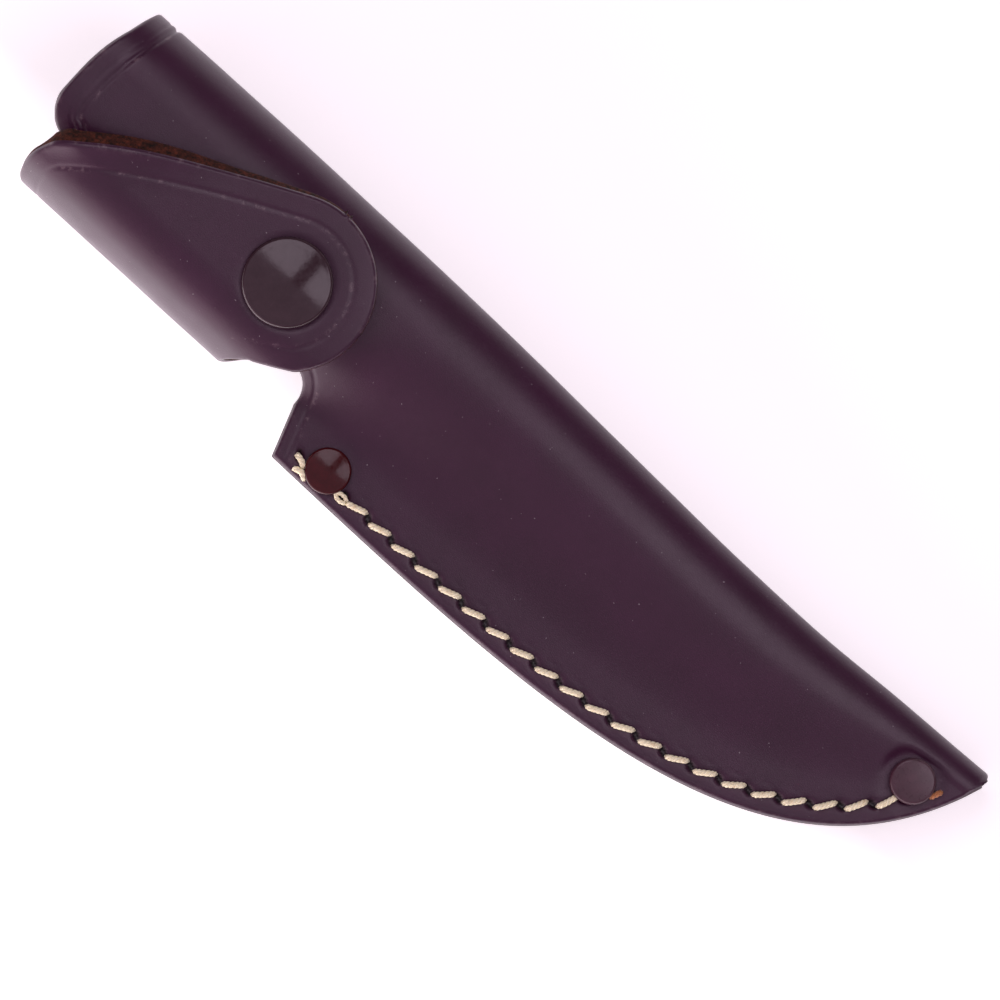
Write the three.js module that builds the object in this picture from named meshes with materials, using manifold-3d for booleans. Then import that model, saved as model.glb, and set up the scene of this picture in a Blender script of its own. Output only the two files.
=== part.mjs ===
// A folded leather belt sheath for a small woodcarving knife, in millimetres, +Z up, lying on its back.
//
// One hide is folded along the spine edge and sewn along the curved blade edge over a welt. Above the
// shoulder the back panel wraps round the handle and closes over the front as a flap with a press stud.
// The shape is drawn in the sheath's own plan: u runs from the mouth (0) to the tip, v runs across, with
// the spine fold near 0 and the seam at negative v, and w is the height above the back panel's outer face.
// The whole group is moved at the end so that its origin is the bottom centre of its bounding box.
import * as THREE from "three";
import { mergeVertices } from "three/addons/utils/BufferGeometryUtils.js";
import Module from "manifold-3d";

const wasm = await Module();
wasm.setup();

// ---- Driving dimensions
const HIDE = 2.8; // leather thickness of the body and flap
const STACK = 3 * HIDE; // back panel, welt and front panel at the seam
const TIP_U = 189.5;
const SHOULDER_U = 66.2; // where the blade pocket starts
const STRAP_HIDE = 2.2; // leather thickness of the belt loop
const BELT_GAP = 4.8; // free height inside the belt loop
const BACK_Z = STRAP_HIDE + BELT_GAP; // the back panel's outer face above the table
const FIT = 0.15; // gap between pieces that touch
const SEAM_BAND = 9; // width of the flat, sewn band along the blade edge
const SEAM_INSET = 3.2; // stitch line to cut edge

const CAMBER = { startU: 80, endU: 176, drop: 5.35 }; // the blade end eases down to the table

const WRAP_V = -24; // centre of the left side bend
const WRAP_WIDTH = 11; // horizontal half width of that bend
const HINGE_ANGLE = 135; // degrees round the bend, from the back panel, where the flap folds

const SNAP = { u: 49.3, v: -18.2 };
const FLAP_END_RADIUS = 14.7; // the flap's round end, concentric with the press stud
const SNAP_GAP = 3.6; // room for the press stud between the front panel and the flap
const RIVETS = { throat: { u: 74.6, v: -36.5 }, tip: { u: 180.4, v: -9.1 } };
const RIVET_HEAD = { radius: 3.9, height: 1.5 };
const RIVET_HOLE = 2.1;
const THREAD = { width: 0.9, height: 0.7 };

const ROUND = 20; // segments of a small round part

// ---- Small helpers
const radians = THREE.MathUtils.degToRad;
const clamp = THREE.MathUtils.clamp;
const at = (u, v, w) => new THREE.Vector3(u, v, w);

// A smooth curve through [position, value] pairs, read as a function of position.
function through(pairs) {
  const curve = new THREE.SplineCurve(pairs.map(([p, q]) => new THREE.Vector2(p, q)));
  const samples = curve.getPoints(pairs.length * 12);
  return (p) => {
    const i = samples.findIndex((s) => s.x >= p);
    if (i < 0) return samples.at(-1).y;
    if (i === 0) return samples[0].y;
    const [a, b] = [samples[i - 1], samples[i]];
    return a.y + ((b.y - a.y) * (p - a.x)) / (b.x - a.x);
  };
}

const steps = (from, to, n) => Array.from({ length: n + 1 }, (_, i) => from + ((to - from) * i) / n);

// ---- The sheath's form
const spineV = through([[0, 0.3], [30, 0.6], [70, 0.5], [100, -0.3], [130, -1.3], [152, -1.6], [170, -1.1], [191, -0.4]]);
const foldWidth = through([[0, 11], [62, 10.5], [100, 9.5], [140, 9], [158, 8], [170, 6.5], [180, 4.7], [191, 4]]);
const crownBlade = through([[50, 17.3], [62, 16.4], [85, 14], [120, 12.2], [150, 11], [170, 9.6], [180, 8.9], [191, 8.5]]);
const falloff = through([[0, 6], [50, 5.5], [70, 2.4], [90, 1.7], [130, 1.6], [191, 1.6]]);
const crownHandle = (u) => 21 - 0.074 * u;
const crown = (u) => (u < 55 ? crownHandle(u) : crownBlade(u));
const flapTop = (u) => 24.5 - 0.0275 * u;
const backZ = (u) => BACK_Z - CAMBER.drop * THREE.MathUtils.smoothstep(u, CAMBER.startU, CAMBER.endU);

// The sewn blade edge, from the shoulder to the tip, and the stitch line inside it.
const seamEdge = new THREE.CubicBezierCurve(
  new THREE.Vector2(SHOULDER_U, -40.9),
  new THREE.Vector2(129, -41.7),
  new THREE.Vector2(174.5, -41.7),
  new THREE.Vector2(TIP_U, -2.5),
);

function insetSeam(inset, from, to, n) {
  return steps(from, to, n).map((t) => {
    const p = seamEdge.getPointAt(t);
    const tangent = seamEdge.getTangentAt(t);
    return new THREE.Vector2(p.x - tangent.y * inset, p.y + tangent.x * inset);
  });
}

const seamSamples = seamEdge.getSpacedPoints(200);
function seamV(u) {
  const i = seamSamples.findIndex((p) => p.x >= u);
  return i < 0 ? seamSamples.at(-1).y : seamSamples[i].y;
}

// Height of the front panel's outer face.
function frontW(u, v) {
  const across = spineV(u) - v;
  const fold = foldWidth(u);
  if (across < fold) {
    const x = clamp((fold - across) / fold, 0, 1);
    return (crown(u) / 2) * (1 + Math.sqrt(1 - x * x));
  }
  const reach = u < SHOULDER_U ? 34 : spineV(u) - seamV(u) - SEAM_BAND;
  const flat = Math.max(reach, fold + 1);
  const x = clamp((across - fold) / (flat - fold), 0, 1);
  return STACK + (crown(u) - STACK) * (1 - x ** falloff(u)) ** 2;
}

// ---- Solids
function toSolid(geometry) {
  const bare = geometry.clone();
  bare.deleteAttribute("normal");
  bare.deleteAttribute("uv");
  const merged = mergeVertices(bare, 1e-4);
  return new wasm.Manifold(
    new wasm.Mesh({
      numProp: 3,
      vertProperties: merged.attributes.position.array,
      triVerts: new Uint32Array(merged.index.array),
    }),
  );
}

function toGeometry(solid) {
  const mesh = solid.getMesh();
  const flat = new THREE.BufferGeometry();
  flat.setAttribute("position", new THREE.BufferAttribute(mesh.vertProperties, 3));
  flat.setIndex(new THREE.BufferAttribute(mesh.triVerts, 1));
  flat.computeVertexNormals();
  return flat;
}

// A closed body through rings of equal length, one ring after another along u.
function loft(rings) {
  const n = rings[0].length;
  const positions = rings.flat().flatMap((p) => [p.x, p.y, p.z]);
  const index = [];
  for (let i = 0; i + 1 < rings.length; i++) {
    for (let j = 0; j < n; j++) {
      const [a, b] = [i * n + j, i * n + ((j + 1) % n)];
      index.push(a, b, b + n, a, b + n, a + n);
    }
  }
  const last = (rings.length - 1) * n;
  const half = n / 2;
  // Each ring is an outer path followed by the inner path back, so its end is a strip of quads.
  for (let j = 0; j + 1 < half; j++) {
    const [a, b, c, d] = [j, j + 1, n - 2 - j, n - 1 - j];
    index.push(a, c, b, a, d, c);
    index.push(last + a, last + b, last + c, last + a, last + c, last + d);
  }
  const geometry = new THREE.BufferGeometry();
  geometry.setAttribute("position", new THREE.Float32BufferAttribute(positions, 3));
  geometry.setIndex(index);
  const solid = toSolid(geometry);
  if (solid.volume() > 0) return solid;
  for (let i = 0; i < index.length; i += 3) [index[i + 1], index[i + 2]] = [index[i + 2], index[i + 1]];
  geometry.setIndex(index);
  return toSolid(geometry);
}

function prism(shape, low, high, curveSegments = 12) {
  const geometry = new THREE.ExtrudeGeometry(shape, {
    depth: high - low,
    bevelEnabled: false,
    curveSegments,
    steps: 1,
  });
  geometry.translate(0, 0, low);
  return toSolid(geometry);
}

function cylinder(u, v, radius, low, high, segments = ROUND) {
  const geometry = new THREE.CylinderGeometry(radius, radius, high - low, segments);
  geometry.rotateX(Math.PI / 2);
  geometry.translate(u, v, (low + high) / 2);
  return toSolid(geometry);
}

// A turned part on a vertical axis: profile is [radius, height] pairs round its section.
function turned(profile, u, v, w, segments = ROUND) {
  const points = profile.map(([r, h]) => new THREE.Vector2(r, h));
  const closed = profile[0][0] > 0 ? [...points, points[0].clone()] : points;
  const geometry = new THREE.LatheGeometry(closed, segments);
  geometry.rotateX(Math.PI / 2);
  geometry.translate(u, v, w);
  const solid = toSolid(geometry);
  if (solid.volume() > 0) return solid;
  const flipped = geometry.index.array;
  for (let i = 0; i < flipped.length; i += 3) [flipped[i + 1], flipped[i + 2]] = [flipped[i + 2], flipped[i + 1]];
  return toSolid(geometry);
}

// ---- Sections across the sheath
const BODY_STATIONS = [-2, ...steps(2, 58, 8), ...steps(62, 78, 4), ...steps(86, 158, 9), ...steps(164, 192, 7)];
const WIDE_V = -46; // past every cut edge

// Outer and inner paths of the folded hide: back panel, spine fold, front panel.
function foldedRing(u) {
  const fold = foldWidth(u);
  const centre = spineV(u) - fold;
  const half = crown(u) / 2;
  const base = backZ(u);
  const backVs = [WIDE_V, -30, -16];
  const angles = steps(-90, 90, 8).map(radians);
  const frontVs = steps(centre, WIDE_V, 11).slice(1);
  const outer = [
    ...backVs.map((v) => at(u, v, base)),
    ...angles.map((a) => at(u, centre + fold * Math.cos(a), base + half + half * Math.sin(a))),
    ...frontVs.map((v) => at(u, v, base + frontW(u, v))),
  ];
  const inner = [
    ...backVs.map((v) => at(u, v, base + HIDE)),
    ...angles.map((a) =>
      at(u, centre + (fold - HIDE) * Math.cos(a), base + half + (half - HIDE) * Math.sin(a)),
    ),
    ...frontVs.map((v) => at(u, v, base + frontW(u, v) - HIDE)),
  ];
  return [...outer, ...inner.reverse()];
}

// A point of the wrap round the handle: angle 0 is the back panel, 180 the flap's flat top.
function wrapPoint(u, angle, depth) {
  const half = flapTop(u) / 2;
  return at(
    u,
    WRAP_V - (WRAP_WIDTH - depth) * Math.sin(radians(angle)),
    BACK_Z + half - (half - depth) * Math.cos(radians(angle)),
  );
}

// The side wall's own ends along u, by angle round the bend.
const wallMouth = through([[0, 4.2], [60, 5.1], [90, 5.3], [115, 4.6], [135, 3.7]]);
const wallEnd = through([[0, 62], [21, 59], [36, 54.5], [55, 51.5], [90, 49.6], [115, 50.4], [135, 53]]);

function sideWallRing(share) {
  const angles = steps(0, HINGE_ANGLE, 9);
  const along = (angle) => THREE.MathUtils.lerp(wallMouth(angle), wallEnd(angle), share);
  const path = (depth) => [
    at(along(0), WRAP_V + 5, BACK_Z + depth),
    ...angles.map((a) => wrapPoint(along(a), a, depth)),
  ];
  return [...path(0), ...path(HIDE).reverse()];
}

function flapRing(u) {
  const clearAngle = 1.8; // degrees of gap beside the side wall at the fold
  const angles = steps(HINGE_ANGLE + clearAngle, 180, 4);
  const flatVs = [-16, -8, 0];
  const path = (depth) => [
    ...angles.map((a) => wrapPoint(u, a, depth)),
    ...flatVs.map((v) => at(u, v, BACK_Z + flapTop(u) - depth)),
  ];
  return [...path(0), ...path(HIDE).reverse()];
}

// ---- Cut outlines in plan
const TOP = 60; // clear of everything in height
const OUTSIDE_V = -48;

// What is common to both panels: the spine side, the tip and the sewn edge.
function sharedOutline() {
  const s = new THREE.Shape();
  s.moveTo(-5, 3);
  s.lineTo(-5, OUTSIDE_V);
  s.lineTo(60, OUTSIDE_V);
  s.lineTo(SHOULDER_U, -40.9);
  addSeamEdge(s);
  s.lineTo(TIP_U, 3);
  s.closePath();
  return s;
}

// The mouth edge that both panels share where the hide turns over at the spine.
function mouthStart(s) {
  s.moveTo(-6, 6);
  s.lineTo(3.3, 6);
  s.lineTo(3.3, 0.2);
  s.lineTo(2.5, -4.5);
}

function shoulderEnd(s) {
  s.quadraticCurveTo(64.2, -28, 64.5, -33);
  s.lineTo(SHOULDER_U, -40.9);
  s.lineTo(70, OUTSIDE_V - 2);
  s.lineTo(-6, OUTSIDE_V - 2);
  s.closePath();
}

function frontWaste() {
  const s = new THREE.Shape();
  mouthStart(s);
  s.quadraticCurveTo(0.5, -11, 0, -20);
  s.quadraticCurveTo(0, -24.8, 4.6, -25.6);
  s.lineTo(52, -27.4);
  s.lineTo(59, -27.7);
  shoulderEnd(s);
  return s;
}

// The back panel runs only to the root of the side wall, which carries on from it.
function backWaste() {
  const s = new THREE.Shape();
  mouthStart(s);
  s.quadraticCurveTo(2.6, -13, 4.2, -22);
  s.lineTo(56, -22);
  s.lineTo(59.5, -27.8);
  shoulderEnd(s);
  return s;
}

function addSeamEdge(shape) {
  const { v1, v2, v3 } = seamEdge;
  shape.bezierCurveTo(v1.x, v1.y, v2.x, v2.y, v3.x, v3.y);
}

function flapOutline() {
  const s = new THREE.Shape();
  s.moveTo(53, -32.2);
  s.lineTo(3.7, -32.2);
  s.quadraticCurveTo(3.4, -28.6, 5, -27.2);
  s.quadraticCurveTo(15.2, -18, 43, -4.9);
  s.absarc(SNAP.u, SNAP.v, FLAP_END_RADIUS, radians(115), radians(-45), true);
  s.quadraticCurveTo(56.5, -30.6, 53, -32.2);
  s.closePath();
  return s;
}

function weltOutline() {
  const s = new THREE.Shape();
  s.moveTo(SHOULDER_U, -40.9);
  addSeamEdge(s);
  const inner = insetSeam(SEAM_BAND - 1, 0.93, 0, 8);
  inner.forEach((p) => s.lineTo(p.x, p.y));
  s.closePath();
  return s;
}

// ---- Leather pieces
function leatherBody() {
  const parting = BACK_Z + HIDE + 1.4; // a height between the two panels at the handle
  const overlap = 0.5;
  let body = loft(BODY_STATIONS.map(foldedRing))
    .intersect(prism(sharedOutline(), -TOP, TOP))
    .subtract(prism(frontWaste(), parting - overlap, TOP))
    .subtract(prism(backWaste(), -TOP, parting + overlap))
    .add(loft(steps(0, 1, 5).map(sideWallRing)));
  for (const { u, v } of Object.values(RIVETS)) {
    body = body
      .subtract(cylinder(u, v, RIVET_HOLE, -TOP, TOP))
      .subtract(cylinder(u, v, RIVET_HEAD.radius + FIT, backZ(u) + STACK, TOP));
  }
  // The press stud's hole, and the flat seats it and its eyelet are drawn down onto.
  return body
    .subtract(cylinder(SNAP.u, SNAP.v, 2.4, BACK_Z + 10, TOP))
    .subtract(cylinder(SNAP.u, SNAP.v, SEAT_RADIUS, studSeat, TOP))
    .subtract(cylinder(SNAP.u, SNAP.v, SEAT_RADIUS, BACK_Z + 10, eyeletSeat));
}

function retainingFlap() {
  const raw = loft([-2, 14, 30, 46, 66].map(flapRing)).intersect(prism(flapOutline(), -TOP, TOP));
  const seated = raw.subtract(cylinder(SNAP.u, SNAP.v, 2.6, 0, TOP));
  return seated
    .subtract(cylinder(SNAP.u, SNAP.v, CAP_RADIUS + 0.2, capSeat, TOP, 28))
    .subtract(cylinder(SNAP.u, SNAP.v, SOCKET_RADIUS + 0.2, 0, socketSeat, 24));
}

function welt() {
  const slab = loft(
    BODY_STATIONS.map((u) => {
      const base = backZ(u) + HIDE;
      const foldStart = spineV(u) - foldWidth(u) - 0.3;
      return [
        at(u, WIDE_V, base + FIT),
        at(u, foldStart, base + FIT),
        at(u, foldStart, base + HIDE - FIT),
        at(u, WIDE_V, base + HIDE - FIT),
      ];
    }),
  );
  let strip = slab.intersect(prism(weltOutline(), -TOP, TOP, 16));
  for (const { u, v } of Object.values(RIVETS)) strip = strip.subtract(cylinder(u, v, RIVET_HOLE, -TOP, TOP));
  return strip;
}

// The belt loop: a strap along the back whose two ends are sewn down and whose middle stands clear.
const LOOP = { start: 8, end: 78, width: 19, centreV: -17.5, tab: 11, ramp: 6 };

function beltLoop() {
  const { start, end, tab, ramp } = LOOP;
  const touch = BACK_Z - FIT;
  const s = new THREE.Shape();
  s.moveTo(start, touch);
  s.lineTo(start + tab, touch);
  s.quadraticCurveTo(start + tab + 1, STRAP_HIDE, start + tab + ramp, STRAP_HIDE);
  s.lineTo(end - tab - ramp, STRAP_HIDE);
  s.quadraticCurveTo(end - tab - 1, STRAP_HIDE, end - tab, touch);
  s.lineTo(end, touch);
  s.lineTo(end, touch - STRAP_HIDE);
  s.lineTo(end - tab + 1.8, touch - STRAP_HIDE);
  s.quadraticCurveTo(end - tab, 0, end - tab - ramp, 0);
  s.lineTo(start + tab + ramp, 0);
  s.quadraticCurveTo(start + tab, 0, start + tab - 1.8, touch - STRAP_HIDE);
  s.lineTo(start, touch - STRAP_HIDE);
  s.closePath();
  const geometry = new THREE.ExtrudeGeometry(s, { depth: LOOP.width, bevelEnabled: false, curveSegments: 5 });
  geometry.rotateX(Math.PI / 2);
  geometry.translate(0, LOOP.centreV + LOOP.width / 2, 0);
  return toSolid(geometry);
}

// ---- Threads, each a flat bar along its row of stitches
function threadAlong(points, lowAt) {
  const half = THREAD.width / 2;
  const rings = points.map((p, i) => {
    const [before, after] = [points[Math.max(0, i - 1)], points[Math.min(points.length - 1, i + 1)]];
    const side = new THREE.Vector2(-(after.y - before.y), after.x - before.x).normalize().multiplyScalar(half);
    const low = lowAt(p.x, p.y);
    return [
      at(p.x + side.x, p.y + side.y, low),
      at(p.x - side.x, p.y - side.y, low),
      at(p.x - side.x, p.y - side.y, low + THREAD.height),
      at(p.x + side.x, p.y + side.y, low + THREAD.height),
    ];
  });
  return loft(rings);
}

const seamStitchLine = () => insetSeam(SEAM_INSET, 0.088, 0.875, 26);
const seamNeedleThread = () => threadAlong(seamStitchLine(), (u) => backZ(u) + STACK + FIT);
const seamBobbinThread = () => threadAlong(seamStitchLine(), (u) => backZ(u) - FIT - THREAD.height);

function threadBox(uLow, uHigh, low) {
  const inset = 2.7;
  const [vLow, vHigh] = [LOOP.centreV - LOOP.width / 2 + inset, LOOP.centreV + LOOP.width / 2 - inset];
  const frame = new THREE.Shape();
  rectangle(frame, uLow, uHigh, vLow, vHigh);
  const hole = new THREE.Path();
  rectangle(hole, uLow + THREAD.width, uHigh - THREAD.width, vLow + THREAD.width, vHigh - THREAD.width);
  frame.holes.push(hole);
  return prism(frame, low, low + THREAD.height);
}

function rectangle(path, uLow, uHigh, vLow, vHigh) {
  path.moveTo(uLow, vLow);
  path.lineTo(uHigh, vLow);
  path.lineTo(uHigh, vHigh);
  path.lineTo(uLow, vHigh);
  path.closePath();
}

// ---- Rivets: a domed cap with a hollow stem on the front, and a back cap with a post that fits in it
function rivetCap({ u, v }) {
  const { radius, height } = RIVET_HEAD;
  const face = FIT;
  const stem = -STACK / 2 - 1.4;
  const profile = [
    [0, face + height],
    [radius * 0.55, face + height * 0.88],
    [radius * 0.9, face + height * 0.5],
    [radius, face + 0.3],
    [radius - 0.2, face],
    [1.7, face],
    [1.7, stem],
    [1.3, stem],
    [1.3, face - 0.5],
    [0, face - 0.5],
  ];
  return turned(profile, u, v, backZ(u) + STACK, 16);
}

function rivetPost({ u, v }) {
  const { radius, height } = RIVET_HEAD;
  const profile = [
    [0, -FIT - height],
    [radius * 0.6, -FIT - height],
    [radius * 0.92, -FIT - height * 0.5],
    [radius, -FIT - 0.25],
    [radius - 0.2, -FIT],
    [1.05, -FIT],
    [1.05, STACK - 1],
    [0, STACK - 0.6],
  ];
  return turned(profile, u, v, backZ(u), 16);
}

// ---- Press stud: cap, socket and ring spring on the flap; stud and eyelet on the front panel
const CAP_RADIUS = 7.5;
const SOCKET_RADIUS = 6;
const SEAT_RADIUS = 5.2;
const earTop = BACK_Z + crownHandle(SNAP.u) - 0.8; // front panel's outer face under the stud
const studSeat = earTop;
const eyeletSeat = earTop - HIDE + 0.6;
const socketFoot = studSeat + 1.2;
const socketSeat = socketFoot + 2.6;
const capSeat = BACK_Z + flapTop(SNAP.u) - 0.2;

function snapCap() {
  const profile = [
    [0, 2.5],
    [2.6, 2.35],
    [5, 1.85],
    [6.7, 1.1],
    [CAP_RADIUS, 0.5],
    [CAP_RADIUS, 0.2],
    [CAP_RADIUS - 0.5, FIT],
    [2.2, FIT],
    [2.2, socketSeat - capSeat - 0.5],
    [1.5, socketSeat - capSeat - 0.5],
    [1.5, 0.5],
    [0, 0.5],
  ];
  return turned(profile, SNAP.u, SNAP.v, capSeat, 28);
}

function snapSocket() {
  const profile = [
    [2.5, 2.45],
    [SOCKET_RADIUS - 0.4, 2.45],
    [SOCKET_RADIUS, 2.1],
    [SOCKET_RADIUS, 0.4],
    [SOCKET_RADIUS - 0.4, 0],
    [3.65, 0],
    [3.65, 0.5],
    [4.5, 0.5],
    [4.5, 1.4],
    [3.65, 1.4],
    [3.65, 1.9],
    [2.5, 1.9],
  ];
  return turned(profile, SNAP.u, SNAP.v, socketFoot);
}

// The split ring spring lies in the socket's groove.
function snapSpring() {
  const profile = [
    [3.75, 0.7],
    [4.3, 0.7],
    [4.3, 1.2],
    [3.75, 1.2],
  ];
  const ring = turned(profile, SNAP.u, SNAP.v, socketFoot);
  const slit = new THREE.BoxGeometry(1.4, 1.2, 3);
  slit.translate(SNAP.u + 4, SNAP.v, socketFoot + 1);
  return ring.subtract(toSolid(slit));
}

function snapStud() {
  const profile = [
    [2.1, FIT],
    [4.9, FIT],
    [4.9, 0.8],
    [2.9, 0.95],
    [2.9, 1.5],
    [3.25, 1.9],
    [3.1, 2.5],
    [2.4, 2.75],
    [2.1, 2.75],
  ];
  return turned(profile, SNAP.u, SNAP.v, studSeat);
}

function snapEyelet() {
  const stemTop = studSeat - eyeletSeat + 2.6;
  const profile = [
    [1.2, -FIT - 0.8],
    [4.6, -FIT - 0.8],
    [4.9, -FIT - 0.4],
    [4.6, -FIT],
    [1.85, -FIT],
    [1.85, stemTop],
    [1.2, stemTop],
  ];
  return turned(profile, SNAP.u, SNAP.v, eyeletSeat);
}

// ---- Materials and assembly
const finish = (color, roughness, metalness) => new THREE.MeshStandardMaterial({ color, roughness, metalness });
const LEATHER = finish(0x4a3240, 0.45, 0);
const WELT_LEATHER = finish(0x5a3020, 0.85, 0);
const THREAD_CREAM = finish(0xf2dca4, 0.7, 0);
const DARK_ENAMEL = finish(0x4c343c, 0.25, 0.4);
const STEEL = finish(0x8a8a8e, 0.35, 1);

const sheath = new THREE.Group();

function piece(name, solid, material) {
  const mesh = new THREE.Mesh(toGeometry(solid), material);
  mesh.name = name;
  sheath.add(mesh);
}

const tabThread = { low: BACK_Z - FIT - STRAP_HIDE - FIT - THREAD.height, inside: BACK_Z + HIDE + FIT };
const tabs = {
  upper: [LOOP.start + 2, LOOP.start + LOOP.tab - 3],
  lower: [LOOP.end - LOOP.tab + 3, LOOP.end - 2],
};

piece("leather_body", leatherBody(), LEATHER);
piece("retaining_flap", retainingFlap(), LEATHER);
piece("welt", welt(), WELT_LEATHER);
piece("belt_loop", beltLoop(), LEATHER);
piece("seam_needle_thread", seamNeedleThread(), THREAD_CREAM);
piece("seam_bobbin_thread", seamBobbinThread(), THREAD_CREAM);
for (const [name, [uLow, uHigh]] of Object.entries(tabs)) {
  piece(`belt_loop_${name}_needle_thread`, threadBox(uLow, uHigh, tabThread.low), THREAD_CREAM);
  piece(`belt_loop_${name}_bobbin_thread`, threadBox(uLow, uHigh, tabThread.inside), THREAD_CREAM);
}
for (const [name, place] of Object.entries(RIVETS)) {
  piece(`${name}_rivet_cap`, rivetCap(place), DARK_ENAMEL);
  piece(`${name}_rivet_post`, rivetPost(place), STEEL);
}
piece("snap_cap", snapCap(), DARK_ENAMEL);
piece("snap_socket", snapSocket(), STEEL);
piece("snap_ring_spring", snapSpring(), STEEL);
piece("snap_stud", snapStud(), STEEL);
piece("snap_eyelet", snapEyelet(), STEEL);

// The origin is the bottom centre of the bounding box.
const box = new THREE.Box3().setFromObject(sheath);
const centre = box.getCenter(new THREE.Vector3());
sheath.position.set(-centre.x, -centre.y, -box.min.z);

export default sheath;
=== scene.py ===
"""A folded leather belt sheath for a small woodcarving knife, lying on its back with the press stud up.

Places on the sheath are given in millimetres in its own plan: u runs from the mouth (0) to the tip, v runs
across it, with the spine fold near 0 and the sewn edge at negative v, and w is a height above the table.
"""

import math

import bmesh
import bpy
import numpy as np
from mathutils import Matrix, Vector, noise


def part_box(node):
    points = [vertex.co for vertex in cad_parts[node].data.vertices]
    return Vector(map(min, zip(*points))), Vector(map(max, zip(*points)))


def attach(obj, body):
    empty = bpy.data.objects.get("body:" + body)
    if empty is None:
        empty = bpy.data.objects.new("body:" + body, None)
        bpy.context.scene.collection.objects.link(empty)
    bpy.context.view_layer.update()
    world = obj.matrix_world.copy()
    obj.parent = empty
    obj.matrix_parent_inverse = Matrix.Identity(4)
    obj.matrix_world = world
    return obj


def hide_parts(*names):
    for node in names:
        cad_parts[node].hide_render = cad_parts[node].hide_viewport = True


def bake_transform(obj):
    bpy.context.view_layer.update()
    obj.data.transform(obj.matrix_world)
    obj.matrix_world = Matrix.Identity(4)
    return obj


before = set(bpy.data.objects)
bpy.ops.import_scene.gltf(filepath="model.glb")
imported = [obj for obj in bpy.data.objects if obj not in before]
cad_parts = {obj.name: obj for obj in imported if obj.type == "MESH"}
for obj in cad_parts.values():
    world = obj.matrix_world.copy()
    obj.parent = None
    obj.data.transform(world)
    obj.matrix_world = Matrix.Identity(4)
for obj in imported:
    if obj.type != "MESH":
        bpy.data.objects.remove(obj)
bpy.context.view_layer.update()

# ---- Driving dimensions, in millimetres
MM = 0.001
FIT = 0.15  # gap between pieces that touch
HIDE = 2.8  # leather thickness of body and flap
STACK = 3 * HIDE  # front panel, welt and back panel at the seam
STRAP_HIDE = 2.2  # leather thickness of the belt loop
SHOULDER_U = 66.2  # where the notch ends and the sewn edge starts
SEAM_BAND = 9.0  # width of the flat band along that edge
SEAM_INSET = 3.2  # how far in the stitches lie
SEAM_START, STITCH_PITCH, STITCH_COUNT = 3.0, 5.18, 23
THREAD_RADIUS = 0.54
STRAP_THREAD_RADIUS = 0.36
WRAP_V = -24.0  # centre of the left side bend
WRAP_WIDTH = 11.35
SNAP_V = -18.2
FLAP_END_RADIUS = 14.7
CAMBER_START, CAMBER_END, CAMBER_DROP = 80.0, 176.0, 5.35  # the back sinks to the table towards the tip
POCKET_END_U = 55.0  # where the handle pocket's straight ridge ends
MOUTH_CROWN, CROWN_TAPER = 21.0, 0.074  # the ridge's height at the mouth, and its loss per millimetre
MOUTH_WRAP, WRAP_TAPER = 24.5, 0.0275  # the same for the flap's top
TINY = 1e-9  # keeps a division by a length away from zero

# ---- Where the sheath's plan lies in the frame
body_low, body_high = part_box("leather_body")
snap_low, snap_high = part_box("snap_cap")
loop_low, loop_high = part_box("belt_loop")
ORIGIN_X = body_low.x / MM
ORIGIN_Y = (snap_low.y + snap_high.y) / 2 / MM - SNAP_V
TIP_U = (body_high.x - body_low.x) / MM
SNAP_U = (snap_low.x + snap_high.x) / 2 / MM - ORIGIN_X
BACK_Z = loop_high.z / MM + FIT


def centre_of(node):
    """A node's centre in plan."""
    low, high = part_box(node)
    return (low.x + high.x) / 2 / MM - ORIGIN_X, (low.y + high.y) / 2 / MM - ORIGIN_Y


THROAT_RIVET = centre_of("throat_rivet_cap")
TIP_RIVET = centre_of("tip_rivet_cap")


def to_frame(points):
    """Plan points in millimetres to frame points in metres."""
    return (np.asarray(points, float) + (ORIGIN_X, ORIGIN_Y, 0.0)) * MM


# ---- The sheath's form
def catmull_rom(pairs, per_span=12):
    """Points of a smooth curve through the given ones."""
    p = np.array([pairs[0], *pairs, pairs[-1]], float)
    t = np.linspace(0, 1, per_span, endpoint=False)[:, None]
    spans = []
    for a, b, c, d in zip(p, p[1:], p[2:], p[3:]):
        slope_b, slope_c = (c - a) / 2, (d - b) / 2
        leaving_b = (2 * t**3 - 3 * t**2 + 1) * b + (t**3 - 2 * t**2 + t) * slope_b
        reaching_c = (3 * t**2 - 2 * t**3) * c + (t**3 - t**2) * slope_c
        spans.append(leaving_b + reaching_c)
    return np.vstack([*spans, p[-1:]])


def through(pairs):
    """A smooth function through [position, value] pairs."""
    x, y = catmull_rom(pairs).T
    return lambda at: np.interp(at, x, y)


def smoothstep(x, low, high):
    t = np.clip((np.asarray(x, float) - low) / (high - low), 0, 1)
    return t * t * (3 - 2 * t)


def bezier(*points, n=24):
    """Points along a quadratic or cubic Bezier curve."""
    t = np.linspace(0, 1, n)[:, None]
    p = [np.array(q, float) for q in points]
    while len(p) > 1:
        p = [a + (b - a) * t for a, b in zip(p, p[1:])]
    return p[0]


END_U = 191  # just past the tip
spine_v = through(
    [(0, 0.3), (30, 0.6), (70, 0.5), (100, -0.3), (130, -1.3), (152, -1.4), (170, -0.5), (END_U, 0.3)]
)
fold_width = through(
    [(0, 11), (62, 10.5), (100, 9.5), (140, 9), (158, 8), (170, 6.5), (180, 4.7), (END_U, 4)]
)
blade_crown = through(
    [(50, 17.3), (62, 16.4), (85, 14), (120, 12.2), (150, 11), (170, 9.6), (180, 8.9), (END_U, 8.5)]
)
falloff = through([(0, 6), (50, 5.5), (70, 2.4), (90, 1.7), (130, 1.6), (END_U, 1.6)])


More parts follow.
